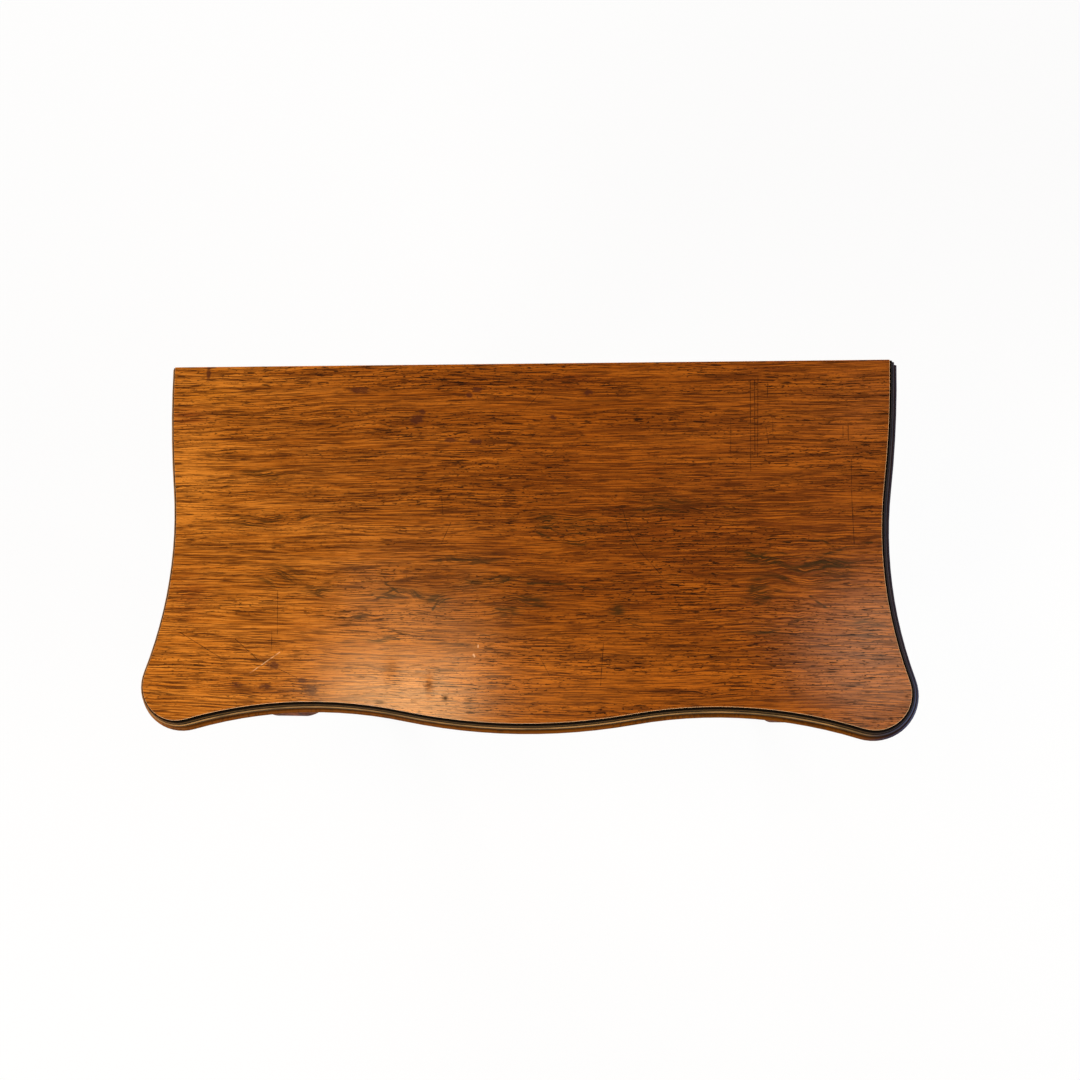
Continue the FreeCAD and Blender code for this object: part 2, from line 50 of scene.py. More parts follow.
slotOf = {part["node"]: part["material_slot"] for part in record["subparts"]}
bodyOf = {node: body for body, members in record["behaviour"]["bodies"].items() for node in members}


# Shader maths: a wire is one output socket, and sums on wires add Math nodes
class Wire:
    def __init__(self, tree, socket=None):
        self.tree = tree
        self.socket = socket

    def node(self, kind, settings=None, inputs=None, output=0):
        made = self.tree.nodes.new("ShaderNode" + kind)
        for name, value in (settings or {}).items():
            if name == "stops":
                setStops(made.color_ramp, value)
            else:
                setattr(made, name, value)
        feed(made, inputs or {})
        return Wire(self.tree, made.outputs[output])

    def math(self, operation, *values):
        return self.node("Math", {"operation": operation}, dict(enumerate(values)))

    def __add__(self, other):
        return self.math("ADD", self, other)

    def __radd__(self, other):
        return self.math("ADD", other, self)

    def __sub__(self, other):
        return self.math("SUBTRACT", self, other)

    def __rsub__(self, other):
        return self.math("SUBTRACT", other, self)

    def __mul__(self, other):
        return self.math("MULTIPLY", self, other)

    def __rmul__(self, other):
        return self.math("MULTIPLY", other, self)

    def __abs__(self):
        return self.math("ABSOLUTE", self)


def feed(node, inputs):  # wires are linked, plain values are set
    for key, value in inputs.items():
        if isinstance(value, Wire):
            value.tree.links.new(value.socket, node.inputs[key])
        else:
            node.inputs[key].default_value = value


def setStops(ramp, stops):
    while len(ramp.elements) < len(stops):
        ramp.elements.new(1.0)
    for element, (position, colour) in zip(ramp.elements, stops):
        element.position = position
        element.color = colour


def tone(red, green, blue):  # screen colour, 0 to 255, as the linear colour a socket takes
    def linear(part):
        part /= 255
        return part / 12.92 if part <= 0.04045 else ((part + 0.055) / 1.055) ** 2.4
    return (linear(red), linear(green), linear(blue), 1.0)


def smooth(value, low, high):  # 0 at low, 1 at high, either way round
    span = {"Value": value, "From Min": low, "From Max": high}
    return value.node("MapRange", {"interpolation_type": "SMOOTHSTEP"}, span)


def parts(place, axes="XYZ"):
    return [place.node("SeparateXYZ", None, {0: place}, axis) for axis in axes]


def joined(x, y, z):
    wire = next(item for item in (x, y, z) if isinstance(item, Wire))
    return wire.node("CombineXYZ", None, {"X": x, "Y": y, "Z": z})


def stretched(place, scale, shift=(0, 0, 0)):
    return place.node("VectorMath", {"operation": "MULTIPLY_ADD"}, {0: place, 1: scale, 2: shift})


def cloudy(place, scale, detail=2.0, roughness=0.5, seed=0.0):
    moved = stretched(place, scale, (seed, seed * 0.7, seed * 1.3))
    values = {"Vector": moved, "Scale": 1.0, "Detail": detail, "Roughness": roughness}
    return place.node("TexNoise", {"noise_dimensions": "3D"}, values)


def wander(place, scale, reach, detail=2.0, seed=0.0):  # noise to either side of nothing
    return (cloudy(place, scale, detail, seed=seed) - 0.5) * reach


def thinLines(place, scale, widths, seed):  # lines along the middle value of a noise
    return smooth(abs(cloudy(place, scale, seed=seed) - 0.5), *widths)


def ramped(value, positions, tones):
    return value.node("ValToRGB", {"stops": list(zip(positions, tones))}, {0: value})


def tinted(amount, base, over):
    return amount.node("Mix", {"data_type": "RGBA"}, {0: amount, 6: base, 7: over}, 2)


def spot(place, at, reach):  # soft round mask in plan
    (atX, atY), (reachX, reachY) = at, reach
    near = stretched(place, (1 / reachX, 1 / reachY, 0), (-atX / reachX, -atY / reachY, 0))
    square = place.node("VectorMath", {"operation": "DOT_PRODUCT"}, {0: near, 1: near}, "Value")
    return square.math("POWER", math.exp(-1), square)


def stroke(place, start, end, width):  # mask of a straight scratch in plan
    runX, runY = end[0] - start[0], end[1] - start[1]
    square = runX ** 2 + runY ** 2
    offset = stretched(place, (1, 1, 0), (-start[0], -start[1], 0))
    share = {0: offset, 1: (runX / square, runY / square, 0)}
    along = place.node("VectorMath", {"operation": "DOT_PRODUCT"}, share, "Value")
    along = along.node("Clamp", None, {"Value": along})
    foot = joined(along * runX, along * runY, 0.0)
    gap = place.node("VectorMath", {"operation": "DISTANCE"}, {0: offset, 1: foot}, "Value")
    return smooth(gap, width, width * 0.3)


def newFinish(name):
    material = bpy.data.materials.new(name)
    material.use_nodes = True
    shader = material.node_tree.nodes["Principled BSDF"]
    place = Wire(material.node_tree).node("TexCoord", output="Object")
    return material, shader, place


def bumped(height, strength, distance):
    return height.node("Bump", None, {"Strength": strength, "Distance": distance, "Height": height})


def highest(masks):
    top = None
    for mask in masks:
        top = mask if top is None else top.math("MAXIMUM", top, mask)
    return top


def spots(place, marks):
    return highest(spot(place, at, reach) * strength for at, reach, strength in marks)


def strokes(place, lines):
    return highest(stroke(place, *line) for line in lines)


def chained(veins, spread):  # one stroke for each stretch of a vein
    stretches = []
    for points, width in veins:
        stretches += [(start, end, width * spread) for start, end in zip(points, points[1:])]
    return stretches


# Faded figured rosewood of the top, laid out in metres on the plan of the closed table
topLook = {
    # tones of the wood, dark to light, faded at the left end and fresher towards the right
    "faded": [tone(120, 63, 11), tone(167, 94, 21), tone(206, 129, 45)],
    "fresh": [tone(88, 40, 5), tone(126, 62, 8), tone(168, 92, 20)],
    "fadeOver": (-0.50, 0.10),
    "line": tone(66, 29, 6),
    "pore": tone(30, 13, 4),
    "smoke": tone(46, 31, 9),
    "stain": tone(66, 30, 16),
    # pale worn wood, also used for the painted highlight along the top's arris
    "worn": tone(232, 184, 132),
    "gloss": 0.42,
    "specular": 0.03,
    "coatRoughness": 0.14,
    # noise cells in a metre, along and across the grain
    "scales": {
        "broad": (1.8, 30.0, 0),
        "band": (5.0, 150.0, 0),
        "fibre": (11.0, 660.0, 0),
        "thread": (18.0, 980.0, 0),
        "growth": (3.0, 90.0, 0),
        "fineGrowth": (7.0, 280.0, 0),
        "hair": (8.0, 440.0, 0),
        "dash": (46.0, 640.0, 0),
        "speck": (190.0, 760.0, 0),
        "cluster": (6.0, 50.0, 0),
        "vein": (22.0, 300.0, 0),
        "cloud": (14.0, 90.0, 0),
        "blot": (150.0, 300.0, 0),
        "smear": (11.0, 26.0, 0),
    },
    # how the grain wanders: noise cells in a metre, reach in metres
    "bends": {
        "drift": ((1.3, 2.2, 0), 0.030),
        "waver": ((9.0, 22.0, 0), 0.008),
        "swirl": ((26.0, 44.0, 0), 0.020),
        "figure": ((9.0, 9.0, 0), 0.090),
        "vein": ((34.0, 60.0, 0), 0.010),
        "fade": ((3.0, 3.0, 0), 0.200),
    },
    # how strongly each mark covers what lies under it
    "cover": {
        "paleFibre": 0.42,
        "paleThread": 0.60,
        "darkFibre": 0.50,
        "darkThread": 0.84,
        "hair": 0.70,
        "growth": 0.85,
        "figure": 0.78,
        "vein": 0.85,
        "stain": 0.80,
        "scratch": 0.85,
        "arris": 0.80,
    },
    # broad tints: place, reach, colour, strength
    "zones": [
        ((-0.410, 0.089), (0.042, 0.070), tone(204, 126, 42), 0.55),
        ((-0.386, 0.184), (0.036, 0.014), tone(198, 118, 26), 0.45),
        ((-0.415, 0.157), (0.030, 0.011), tone(138, 62, 20), 0.60),
        ((-0.397, -0.066), (0.022, 0.028), tone(136, 62, 16), 0.50),
        ((-0.344, -0.154), (0.100, 0.050), tone(192, 110, 30), 0.40),
        ((0.020, -0.152), (0.170, 0.052), tone(184, 102, 24), 0.65),
        ((-0.175, -0.100), (0.075, 0.045), tone(190, 110, 36), 0.45),
        ((0.310, 0.140), (0.120, 0.090), tone(150, 82, 28), 0.35),
        ((0.234, -0.156), (0.080, 0.022), tone(172, 90, 18), 0.35),
        ((0.067, 0.200), (0.034, 0.010), tone(94, 38, 9), 0.50),
        ((0.294, 0.208), (0.070, 0.009), tone(96, 42, 12), 0.50),
        ((0.244, 0.029), (0.160, 0.090), tone(98, 44, 12), 0.40),
        # painted sheen: the next two tint the right-hand end with the tan and grey-brown haze of reflected
        # room light
        ((0.426, -0.123), (0.090, 0.110), tone(164, 100, 56), 0.45),
        ((0.410, 0.166), (0.060, 0.060), tone(150, 86, 40), 0.35),
        ((0.325, -0.078), (0.075, 0.036), tone(108, 52, 26), 0.35),
        ((0.335, -0.028), (0.050, 0.014), tone(86, 42, 18), 0.40),
    ],
    # smoky dark figure: place, reach, strength
    "figures": [
        ((0.028, 0.027), (0.018, 0.010), 0.95),
        ((0.065, 0.001), (0.014, 0.006), 0.90),
        ((0.075, 0.026), (0.040, 0.010), 0.55),
        ((0.006, -0.066), (0.036, 0.008), 0.90),
        ((-0.015, -0.078), (0.020, 0.007), 0.95),
        ((0.115, -0.079), (0.012, 0.012), 0.45),
        ((0.134, -0.092), (0.016, 0.010), 0.75),
        ((0.334, -0.028), (0.048, 0.019), 1.00),
        ((0.291, -0.016), (0.028, 0.009), 0.90),
        ((0.281, -0.056), (0.014, 0.016), 0.95),
        ((0.303, -0.052), (0.010, 0.008), 0.80),
        ((0.330, -0.082), (0.018, 0.009), 0.80),
        ((0.277, -0.084), (0.009, 0.006), 0.80),
        ((0.290, -0.101), (0.030, 0.006), 0.60),
        ((0.398, -0.095), (0.020, 0.011), 0.55),
        ((-0.096, -0.070), (0.014, 0.010), 0.95),
        ((-0.145, -0.061), (0.034, 0.008), 0.80),
        ((-0.037, -0.044), (0.046, 0.008), 0.80),
        ((-0.071, -0.019), (0.050, 0.008), 0.55),
        ((-0.196, -0.086), (0.024, 0.005), 0.70),
        ((-0.238, -0.058), (0.020, 0.007), 1.10),
        ((-0.291, -0.039), (0.034, 0.018), 0.45),
        ((-0.323, 0.029), (0.036, 0.008), 0.85),
        ((-0.254, 0.029), (0.024, 0.008), 0.75),
        ((-0.164, -0.112), (0.024, 0.006), 0.75),
        ((-0.301, 0.084), (0.050, 0.008), 0.60),
        ((-0.044, 0.102), (0.020, 0.006), 0.65),
        ((0.183, 0.047), (0.110, 0.012), 0.45),
    ],
    # single dark veins of the figure: points along each, half width before the spread
    "veinSpread": 1.25,
    "veins": [
        ([(0.020, 0.015), (0.037, 0.007), (0.066, 0.000), (0.074, -0.004)], 0.0018),
        ([(0.020, 0.030), (0.042, 0.037)], 0.0011),
        ([(0.036, 0.021), (0.046, 0.014), (0.085, 0.013)], 0.0012),
        ([(0.042, 0.022), (0.082, 0.023)], 0.0010),
        ([(0.052, 0.029), (0.100, 0.030)], 0.0013),
        ([(0.120, 0.004), (0.140, 0.000)], 0.0016),
        ([(0.010, -0.046), (0.058, -0.048), (0.098, -0.058)], 0.0015),
        ([(-0.027, -0.078), (-0.005, -0.078), (0.031, -0.071)], 0.0018),
        ([(0.304, 0.001), (0.321, 0.004), (0.351, 0.005), (0.364, -0.003)], 0.0012),
        ([(0.332, -0.013), (0.351, -0.015), (0.380, -0.003), (0.408, 0.002)], 0.0014),
        ([(0.331, -0.020), (0.409, -0.019)], 0.0010),
        ([(0.353, -0.025), (0.385, -0.023)], 0.0016),
        ([(0.246, -0.007), (0.261, -0.007), (0.297, -0.021)], 0.0017),
        ([(0.326, -0.054), (0.341, -0.054)], 0.0012),
        ([(0.337, -0.062), (0.354, -0.073), (0.371, -0.076)], 0.0014),
        ([(0.281, -0.102), (0.298, -0.101)], 0.0016),
        ([(-0.147, -0.039), (-0.160, -0.048), (-0.143, -0.060), (-0.117, -0.056)], 0.0013),
        ([(-0.175, -0.061), (-0.168, -0.065), (-0.149, -0.065)], 0.0018),
        ([(-0.102, -0.078), (-0.095, -0.067), (-0.076, -0.064)], 0.0018),
        ([(-0.159, -0.112), (-0.141, -0.113)], 0.0016),
        ([(-0.045, -0.108), (-0.010, -0.106)], 0.0010),
    ],
    # small stains: place, reach, strength
    "stains": [
        ((-0.199, 0.188), (0.012, 0.004), 0.60),
        ((-0.128, 0.152), (0.008, 0.006), 0.70),
        ((-0.121, 0.161), (0.004, 0.003), 0.80),
        ((-0.065, 0.181), (0.004, 0.003), 0.80),
        ((-0.056, 0.188), (0.006, 0.003), 0.70),
        ((-0.056, 0.124), (0.007, 0.003), 0.80),
        ((-0.086, 0.126), (0.008, 0.003), 0.70),
        ((0.078, 0.183), (0.005, 0.003), 0.70),
        ((0.037, 0.153), (0.005, 0.003), 0.60),
        ((-0.291, -0.146), (0.010, 0.005), 0.60),
        ((-0.244, -0.174), (0.009, 0.007), 0.55),
        ((-0.255, -0.164), (0.007, 0.004), 0.50),
        ((-0.300, -0.171), (0.010, 0.003), 0.60),
        ((-0.335, -0.169), (0.008, 0.004), 0.50),
        ((-0.389, 0.212), (0.003, 0.011), 0.60),
    ],
    # single dark growth lines: from, to, half width
    "lines": [
        ((-0.309, 0.135), (-0.216, 0.134), 0.0009),
        ((-0.357, 0.116), (-0.297, 0.116), 0.0014),
        ((-0.307, 0.112), (-0.253, 0.108), 0.0014),
        ((-0.231, 0.103), (-0.112, 0.102), 0.0008),
        ((-0.148, 0.138), (-0.081, 0.137), 0.0009),
        ((-0.147, 0.127), (0.033, 0.120), 0.0009),
        ((0.088, 0.114), (0.140, 0.114), 0.0009),
        ((-0.028, 0.084), (0.005, 0.080), 0.0014),
        ((0.334, 0.107), (0.433, 0.106), 0.0012),
        ((0.392, 0.143), (0.434, 0.144), 0.0009),
        ((0.324, 0.157), (0.381, 0.162), 0.0009),
    ],
    # scratches and cracks: from, to, half width
    "scratches": [
        ((0.270, 0.196), (0.270, 0.087), 0.0007),
        ((0.275, 0.196), (0.275, 0.106), 0.0007),
        ((0.279, 0.202), (0.278, 0.103), 0.0007),
        ((0.290, 0.194), (0.290, 0.175), 0.0007),
        ((0.247, 0.150), (0.247, 0.106), 0.0005),
        ((0.296, 0.150), (0.296, 0.132), 0.0005),
        ((0.288, 0.139), (0.291, 0.120), 0.0008),
        ((0.288, 0.129), (0.297, 0.131), 0.0008),
        ((0.377, 0.140), (0.377, 0.128), 0.0007),
        ((0.383, 0.143), (0.383, 0.123), 0.0006),
        ((0.386, 0.101), (0.386, 0.052), 0.0006),
        ((0.386, 0.052), (0.388, 0.001), 0.0008),
        ((0.120, 0.044), (0.128, 0.016), 0.0007),
        ((0.128, 0.016), (0.141, -0.008), 0.0007),
        ((0.141, -0.008), (0.169, -0.039), 0.0007),
        ((0.100, -0.116), (0.097, -0.165), 0.0008),
        ((0.024, -0.130), (0.038, -0.155), 0.0006),
        ((-0.095, 0.056), (-0.093, 0.036), 0.0007),
        ((-0.083, 0.026), (-0.094, 0.000), 0.0007),
        ((0.023, 0.185), (0.001, 0.161), 0.0006),
        ((-0.290, -0.056), (-0.288, -0.109), 0.0006),
        ((-0.295, -0.105), (-0.294, -0.128), 0.0007),
        ((-0.408, -0.107), (-0.348, -0.142), 0.0007),
        ((-0.339, -0.115), (-0.312, -0.138), 0.0007),
        ((-0.312, -0.138), (-0.262, -0.160), 0.0006),
    ],
    "paleScratches": [
        ((-0.319, -0.155), (-0.284, -0.130), 0.0008),
        ((-0.052, -0.131), (-0.051, -0.133), 0.0016),
        ((-0.047, -0.120), (-0.047, -0.122), 0.0013),
    ],
    # marks where the polish is gone
    "dullMarks": [
        ((-0.104, -0.166), (0.005, 0.013), 0.75),
        ((-0.150, -0.150), (0.009, 0.018), 0.55),
    ],
    # where the polish is best kept
    "polished": [
        ((-0.125, -0.190), (0.185, 0.060), 1.90),
        ((0.410, -0.130), (0.090, 0.090), 0.5),
    ],
    "dents": [
        ((-0.084, -0.182), (0.0036, 0.0031), 1.00),
        ((0.426, -0.199), (0.0022, 0.0020), 0.80),
        ((0.444, -0.174), (0.0022, 0.0014), 0.80),
        ((0.084, -0.196), (0.0024, 0.0016), 0.80),
        ((0.098, -0.124), (0.0020, 0.0016), 0.70),
        ((0.136, -0.143), (0.0030, 0.0012), 0.70),
    ],
}


def topFinish(look):
    material, shader, place = newFinish("fadedRosewood")
    scales, bends, cover = look["scales"], look["bends"], look["cover"]
    x, y = parts(place, "XY")
    smoke = spots(place, look["figures"])
    drift = wander(place, *bends["drift"], detail=1.0)
    waver = wander(place, *bends["waver"], seed=4.0)
    swirl = wander(place, *bends["swirl"], seed=5.0) * smoke
    grain = joined(x, y + drift + waver + swirl, 0.0)

    # ground tones and broad tints
    broad = cloudy(grain, scales["broad"], 3.0, 0.6, seed=1.0)
    band = cloudy(grain, scales["band"], 2.0, 0.55, seed=2.0)
    shade = broad * 0.65 + band * 0.35
    fade = smooth(x + y * 0.4 + wander(place, *bends["fade"], seed=23.0), *look["fadeOver"])
    ground = [ramped(shade, (0.28, 0.50, 0.72), look[name]) for name in ("faded", "fresh")]
    colour = tinted(fade, *ground)
    for at, reach, zone, strength in look["zones"]:
        colour = tinted(spot(place, at, reach) * strength, colour, zone)

    # pale threads, then dark ones with the growth lines
    fibre = cloudy(grain, scales["fibre"], 2.0, 0.6, seed=3.0)
    thread = cloudy(grain, scales["thread"], 1.0, 0.5, seed=6.0)
    pale = tinted(fade, look["faded"][2], look["fresh"][2])
    paleFibre = smooth(fibre, 0.54, 0.60) * cover["paleFibre"]
    paleThread = smooth(thread, 0.57, 0.61) * cover["paleThread"]
    colour = tinted(highest((paleFibre, paleThread)), colour, pale)
    growth = highest((thinLines(grain, scales["growth"], (0.016, 0.005), seed=8.0),
                      thinLines(grain, scales["fineGrowth"], (0.032, 0.010), seed=9.0)))
    growth = growth * smooth(cloudy(place, (14.0, 120.0, 0), 2.0, 0.6, seed=10.0), 0.45, 0.56)
    gaps = smooth(cloudy(place, (60.0, 500.0, 0), 2.0, seed=11.0), 0.34, 0.52)
    growth = highest((growth, strokes(place, look["lines"]) * gaps))
    hair = thinLines(grain, scales["hair"], (0.040, 0.012), seed=24.0)
    hair = hair * smooth(cloudy(place, (26.0, 260.0, 0), 2.0, 0.6, seed=25.0), 0.42, 0.52)
    darkFibre = smooth(fibre, 0.43, 0.38) * cover["darkFibre"]
    darkThread = smooth(thread, 0.43, 0.39) * cover["darkThread"]
    lines = highest((darkFibre, darkThread, hair * cover["hair"], growth * cover["growth"]))
    colour = tinted(lines, colour, look["line"])

    # pores, closer together in some patches
    cluster = smooth(cloudy(grain, scales["cluster"], 2.0, seed=12.0), 0.36, 0.60)
    dash = smooth(cloudy(grain, scales["dash"], 1.0, seed=13.0), 0.61, 0.64)
    speck = smooth(cloudy(grain, scales["speck"], 1.0, seed=14.0), 0.63, 0.66)
    pores = highest((dash, speck * 0.9)) * (cluster * 0.7 + 0.3)
    colour = tinted(pores * (fade * 0.25 + 0.70), colour, look["pore"])

    # smoky figure, its single veins, stains
    figure = joined(x, y + drift + wander(place, *bends["figure"], seed=18.0), 0.0)
    vein = smooth(cloudy(figure, scales["vein"], 3.0, 0.6, seed=15.0), 0.52, 0.42)
    cloud = smooth(cloudy(figure, scales["cloud"], 3.0, 0.6, seed=20.0), 0.40, 0.60)
    streaks = smooth(fibre, 0.58, 0.42) * 0.65 + 0.20
    colour = tinted(smoke * cloud * streaks, colour, look["smoke"])
    middle = smooth(smoke * (cloud * 0.6 + 0.4), 0.08, 0.50)
    colour = tinted(middle * vein * cover["figure"], colour, look["smoke"])
    roving = joined(x, y + wander(place, *bends["vein"], seed=21.0), 0.0)
    torn = smooth(cloudy(grain, (24.0, 480.0, 0), 2.0, seed=22.0), 0.40, 0.56)
    drawn = strokes(roving, chained(look["veins"], look["veinSpread"]))
    colour = tinted(drawn * torn * cover["vein"], colour, look["smoke"])
    blot = cloudy(place, scales["blot"], 3.0, 0.65, seed=16.0)
    stain = smooth(spots(place, look["stains"]) * (blot * 2.4 - 0.4), 0.06, 0.38)
    colour = tinted(stain * cover["stain"], colour, look["stain"])

    # scratches, dents, and the arris, worn and with a painted highlight along it
    worn = smooth(cloudy(place, (140.0, 140.0, 0), 2.0, seed=17.0), 0.40, 0.60)
    cut = strokes(place, look["scratches"]) * (worn * 0.5 + 0.4)
    colour = tinted(cut * cover["scratch"], colour, look["pore"])
    rub = strokes(place, look["paleScratches"])
    colour = tinted(rub * (worn * 0.42 + 0.10), colour, look["worn"])
    dent = spots(place, look["dents"])
    colour = tinted(dent, colour, look["pore"])
    # where the surface turns down at the arris it is made pale: partly worn finish, partly painted
    # highlight
    facing = parts(place.node("TexCoord", output="Normal"), "Z")[0]
    arris = smooth(facing, 0.97, 0.80)
    colour = tinted(arris * cover["arris"], colour, look["worn"])

    rough = look["gloss"] + (broad - 0.5) * 0.10 + pores * 0.15 + cut * 0.2 + arris * 0.15
    height = fibre * 0.12 + thread * 0.08 - pores * 0.4 - lines * 0.2 - cut * 0.8 - dent * 1.2
    smear = smooth(cloudy(place, scales["smear"], 3.0, 0.6, seed=19.0), 0.34, 0.62)
    kept = spots(place, look["polished"]) * 0.40
    polish = (smear * 0.08 + 0.08 + kept) * (1 - spots(place, look["dullMarks"]))
    polish = polish * (1 - pores * 0.6) * (1 - dent * 0.9)
    feed(shader, {
        "Base Color": colour,
        "Roughness": rough,
        "Specular IOR Level": look["specular"],
        "Coat Weight": polish,
        "Coat Roughness": look["coatRoughness"],
        "Normal": bumped(height, 0.25, 0.0003),
    })
    return material


# Dark moulding round both leaves, cross grained: heights run from the joint between the leaves
mouldingLook = {
    "jointHeight": 0.7187,
    "upperBead": tone(62, 54, 36),
    "lowerBead": tone(106, 58, 10),
    "round": tone(82, 56, 22),
    # painted shadow in the quirk under the top's arris
    "quirk": tone(16, 9, 4),
    # painted highlight along the crest of the upper bead
    "crest": tone(172, 128, 76),
    "stripe": tone(40, 23, 9),
    # painted shade in the grooves of the moulding
    "dirt": tone(11, 8, 5),
    "shadeSide": tone(26, 20, 23),  # painted shade and dark reflection: the right-hand side darkened almost black
    "gleam": tone(74, 88, 124),  # painted reflection: a cool blue gleam on the right-hand side, strongest at the ear
    "gleamAt": ((0.455, -0.186), (0.028, 0.034)),
    "litSide": tone(178, 114, 52),  # painted light: the left-hand side made pale, as where light falls on it
    "beadHead": 0.0107,
    "crestLine": 0.0096,
    "quirkFoot": 0.0150,
    "grooves": [(0.0022, 0.0006), (0.0108, 0.0005), (0.0168, 0.0009)],
    "gloss": 0.28,
    "specular": 0.025,
    "litShare": 0.45,
    "shadeShare": 0.90,
    "stripeShare": 0.55,
    "leftEnd": (-0.38, -0.48),  # where the painted-light left-hand side begins and is full, and the painted-shade right-hand one
    "rightEnd": (0.37, 0.44),
    "roundTheEar": 0.04,  # how far a face that looks aside counts as nearer to its end
}


def mouldingFinish(look):
    material, shader, place = newFinish("darkRosewood")
    x, z = parts(place, "XZ")
    lift = z - look["jointHeight"]
    rise = abs(lift)
    upper = smooth(lift, -0.0002, 0.0002)
    turnX, turnY, turnZ = parts(place.node("TexCoord", output="Normal"))
    side = smooth(abs(turnX) - abs(turnY), -0.2, 0.2)
    reach = x + turnX * look["roundTheEar"]
    left = smooth(reach, *look["leftEnd"])
    right = smooth(reach, *look["rightEnd"])
    acrossFront = cloudy(place, (330.0, 24.0, 60.0), 3.0, 0.6, seed=1.0)
    acrossSide = cloudy(place, (24.0, 330.0, 60.0), 3.0, 0.6, seed=2.0)
    grain = acrossFront * (1 - side) + acrossSide * side
    cloud = cloudy(place, (16.0, 16.0, 40.0), 2.0, seed=3.0)
    along = cloudy(place, (18.0, 18.0, 800.0), 2.0, 0.6, seed=4.0)
    colour = tinted(upper, look["lowerBead"], look["upperBead"])
    colour = tinted(smooth(rise, look["beadHead"], look["beadHead"] + 0.0006), colour, look["round"])
    # painted light on the left-hand end
    colour = tinted(left * look["litShare"], colour, look["litSide"])
    stripe = smooth(grain * 0.5 + along * 0.5, 0.50, 0.40)
    colour = tinted(stripe * look["stripeShare"], colour, look["stripe"])
    # painted shadow in the quirk under the arris, weaker at the left-hand end
    quirk = smooth(rise, look["quirkFoot"], look["quirkFoot"] + 0.0020) * (1 - left * 0.75)
    colour = tinted(quirk, colour, look["quirk"])
    # painted highlight along the crest of the upper bead, broken up by a cloud
    crest = smooth(abs(rise - look["crestLine"]), 0.0009, 0.0002)
    colour = tinted(crest * upper * (smooth(cloud, 0.36, 0.58) * 0.6 + 0.3), colour, look["crest"])
    # painted shade and dark reflection on the right-hand end
    colour = tinted(right * look["shadeShare"], colour, look["shadeSide"])
    # painted reflection: a cool gleam on the right-hand end's faces that look partly up, strongest at the
    # ear
    gleam = smooth(turnZ, 0.40, 0.70) * smooth(turnZ, 0.96, 0.80)
    gleam = gleam * (spot(place, *look["gleamAt"]) * 0.45 + 0.15)
    colour = tinted(right * gleam, colour, look["gleam"])
    # painted shade in the grooves, weaker at the left-hand end; the grooves are also made rougher
    dirt = highest(smooth(abs(rise - at), width * 1.8, width * 0.5) for at, width in look["grooves"])
    colour = tinted(dirt * (0.9 - left * 0.4), colour, look["dirt"])
    feed(shader, {
        "Base Color": colour,
        "Roughness": look["gloss"] + (cloud - 0.5) * 0.15 + dirt * 0.3,
        "Specular IOR Level": look["specular"],
        "Normal": bumped(grain, 0.20, 0.0003),
    })
    return material


# Polished rosewood of the frame and legs, the grain running along one axis
rosewoodLook = {
    "tones": [tone(40, 17, 7), tone(98, 44, 15), tone(146, 78, 30)],
    "pore": tone(24, 11, 5),
    "gloss": 0.40,
    "specular": 0.03,
    "borderCorner": (0.380, -0.148),  # inner corner of the border of a leaf
}


def rosewoodFinish(name, axis, look):
    material, shader, place = newFinish(name)
    x, y, z = parts(place)
    if axis == "border":  # across the band, mitred at the ears
        cornerX, cornerY = look["borderCorner"]
        side = smooth(abs(x) + y - (cornerX + cornerY), -0.001, 0.001)
        order = (y * (1 - side) + x * side, x * (1 - side) + y * side, z)
    else:
        order = {"x": (x, y, z), "y": (y, x, z), "z": (z, x, y)}[axis]
    bend = cloudy(joined(*order), (3.0, 8.0, 8.0), 2.0, seed=1.0) - 0.5
    grain = joined(order[0], order[1] + bend * 0.02, order[2] + bend * 0.014)
    broad = cloudy(grain, (1.8, 60.0, 60.0), 3.0, 0.55, seed=2.0)
    streak = cloudy(grain, (7.0, 240.0, 240.0), 3.0, 0.6, seed=3.0)
    colour = ramped(broad * 0.6 + streak * 0.4, (0.34, 0.50, 0.68), look["tones"])
    pores = smooth(cloudy(grain, (34.0, 700.0, 700.0), 1.0, seed=4.0), 0.60, 0.70)
    feed(shader, {
        "Base Color": tinted(pores * 0.7, colour, look["pore"]),
        "Roughness": look["gloss"] + (broad - 0.5) * 0.12 + pores * 0.12,
        "Specular IOR Level": look["specular"],
        "Normal": bumped(streak * 0.2 - pores * 0.5, 0.3, 0.0003),
    })
    return material


carcaseLook = {
    "bare": [tone(122, 82, 46), tone(176, 132, 84), tone(204, 164, 112)],
    "stained": [tone(74, 38, 18), tone(112, 62, 30), tone(146, 90, 48)],
    "roughness": 0.62,
    "specular": 0.12,
}


def carcaseFinish(name, tones, look):
    material, shader, place = newFinish(name)
    x, y, z = parts(place)
    bend = cloudy(place, (2.0, 7.0, 7.0), 2.0) - 0.5
    grain = joined(x, y + bend * 0.03, z + bend * 0.02)
    ring = cloudy(grain, (1.2, 70.0, 70.0), 2.0, 0.5, seed=2.0)
    streak = cloudy(grain, (8.0, 300.0, 300.0), 3.0, 0.6, seed=3.0)
    feed(shader, {
        "Base Color": ramped(ring * 0.6 + streak * 0.4, (0.34, 0.50, 0.66), tones),
        "Roughness": look["roughness"] + (streak - 0.5) * 0.2,
        "Specular IOR Level": look["specular"],
        "Normal": bumped(streak, 0.3, 0.0004),
    })
    return material


baizeLook = {
    "tones": [tone(16, 54, 34), tone(28, 78, 50), tone(62, 104, 68)],
    "roughness": 0.9,
    "sheen": 0.25,
    "sheenRoughness": 0.5,
}


